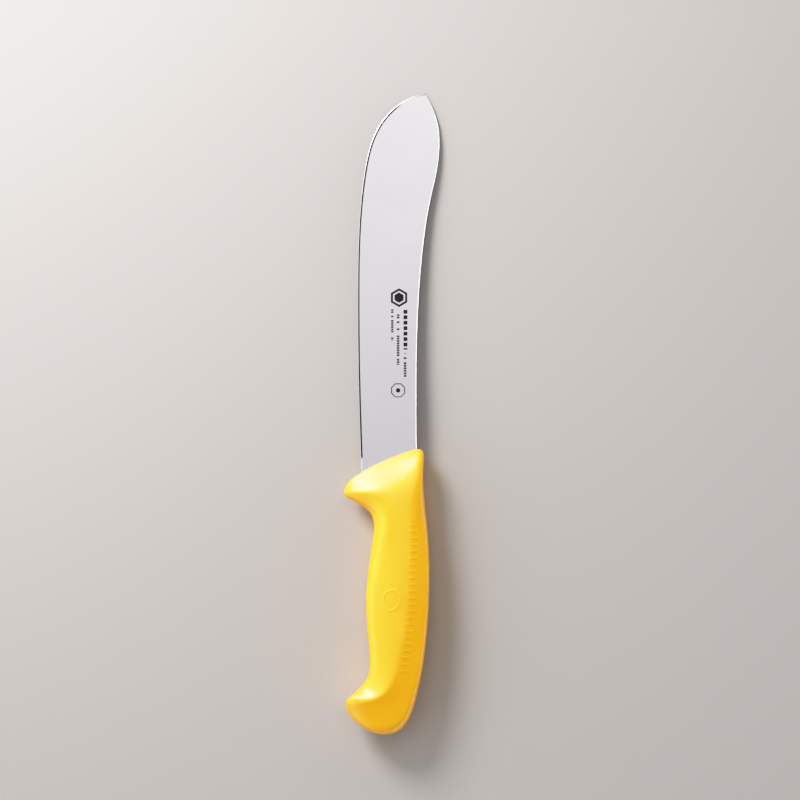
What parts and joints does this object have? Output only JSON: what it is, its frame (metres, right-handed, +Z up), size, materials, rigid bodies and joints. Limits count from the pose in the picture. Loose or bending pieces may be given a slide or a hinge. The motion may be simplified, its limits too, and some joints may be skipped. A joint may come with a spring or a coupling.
{
  "type": "butcher's knife",
  "caption": "Curved steel butcher's knife with a wide upswept blade and a moulded yellow plastic handle that has a finger guard and a hooked butt.",
  "frame": {"origin": "under the middle of the bounding box, on the plane the knife lies on", "axes": "+Y along the knife towards the point, +X towards the spine, +Z up through the blade's side"},
  "size_m": [0.0506, 0.3406, 0.022],
  "materials": {
    "blade_steel": "fine satin grind, brighter along the ground cutting bevel",
    "handle_plastic": "satin moulded polypropylene with a fine grained skin"
  },
  "bodies": {
    "root": {"blade": "blade_steel", "handle": "handle_plastic"}
  },
  "joints": []
}
